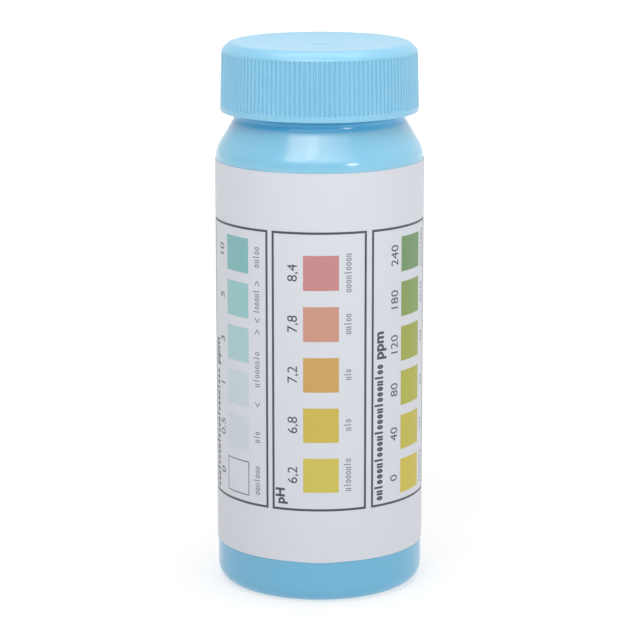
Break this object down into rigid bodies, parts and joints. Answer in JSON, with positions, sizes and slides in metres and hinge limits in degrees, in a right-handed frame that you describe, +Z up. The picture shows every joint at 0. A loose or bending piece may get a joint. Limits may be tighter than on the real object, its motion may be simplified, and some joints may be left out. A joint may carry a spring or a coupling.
{
  "type": "water test strip kit",
  "caption": "Round bottle of dip-and-read strips for pool and spa water, with a ribbed screw cap, a wrap-round colour chart, loose strips and a desiccant canister.",
  "frame": {"origin": "centre of the bottle's base, on the surface it stands on", "axes": "+Z up along the bottle's axis; the middle of the colour chart faces -Y"},
  "size_m": [0.038, 0.038, 0.0999],
  "materials": {
    "bottle_plastic": "semi-gloss",
    "label_film": "satin",
    "print_ink": "satin",
    "cap_plastic": "satin",
    "liner_foam": "matte",
    "strip_film": "satin",
    "chlorine_pad": "matte",
    "ph_pad": "matte",
    "alkalinity_pad": "matte",
    "canister_plastic": "satin",
    "silica_gel": "gloss"
  },
  "bodies": {
    "bottle": {"bottle": "bottle_plastic", "label": "label_film"},
    "liner": {"cap_liner": "liner_foam"},
    "cap": {"cap": "cap_plastic"},
    "strips": {"strip_01": "strip_film", "strip_02": "strip_film", "strip_03": "strip_film", "strip_04": "strip_film", "strip_05": "strip_film", "strip_06": "strip_film", "strip_07": "strip_film", "strip_08": "strip_film", "strip_09": "strip_film", "strip_10": "strip_film", "strip_11": "strip_film", "strip_12": "strip_film", "strip_13": "strip_film", "strip_14": "strip_film", "strip_15": "strip_film", "strip_16": "strip_film", "strip_17": "strip_film", "strip_18": "strip_film", "strip_19": "strip_film", "strip_20": "strip_film", "strip_21": "strip_film", "strip_22": "strip_film", "strip_23": "strip_film", "strip_24": "strip_film", "strip_25": "strip_film", "strip_26": "strip_film", "strip_27": "strip_film", "strip_28": "strip_film", "strip_29": "strip_film", "strip_30": "strip_film", "strip_31": "strip_film", "strip_32": "strip_film", "strip_33": "strip_film", "strip_34": "strip_film", "strip_35": "strip_film", "strip_36": "strip_film", "strip_37": "strip_film", "strip_38": "strip_film", "strip_39": "strip_film", "strip_40": "strip_film", "strip_41": "strip_film", "strip_42": "strip_film", "strip_43": "strip_film", "strip_44": "strip_film", "strip_45": "strip_film", "strip_46": "strip_film", "strip_47": "strip_film", "strip_48": "strip_film", "strip_49": "strip_film", "strip_50": "strip_film", "chlorine_pads": "chlorine_pad", "ph_pads": "ph_pad", "alkalinity_pads": "alkalinity_pad"},
    "desiccant": {"desiccant_canister": "canister_plastic", "desiccant_lid": "canister_plastic", "desiccant_beads": "silica_gel"}
  },
  "joints": [
    {"name": "cap_rise", "type": "slide", "parent": "bottle", "child": "liner", "axis": [0, 0, 1], "range_m": [0, 0.0138]},
    {"name": "cap_turn", "type": "hinge", "parent": "liner", "child": "cap", "pos_m": [0, 0, 0.0935], "axis": [0, 0, 1], "range_deg": [0, 1170]},
    {"name": "strips_slide", "type": "slide", "parent": "bottle", "child": "strips", "axis": [0, 0, 1], "range_m": [0, 0.011]},
    {"name": "desiccant_slide", "type": "slide", "parent": "bottle", "child": "desiccant", "axis": [0, 0, 1], "range_m": [0, 0.055]}
  ],
  "couplings": [
    {"joint": "cap_rise", "follows": "cap_turn", "m_per_rad": 0.0006737}
  ]
}
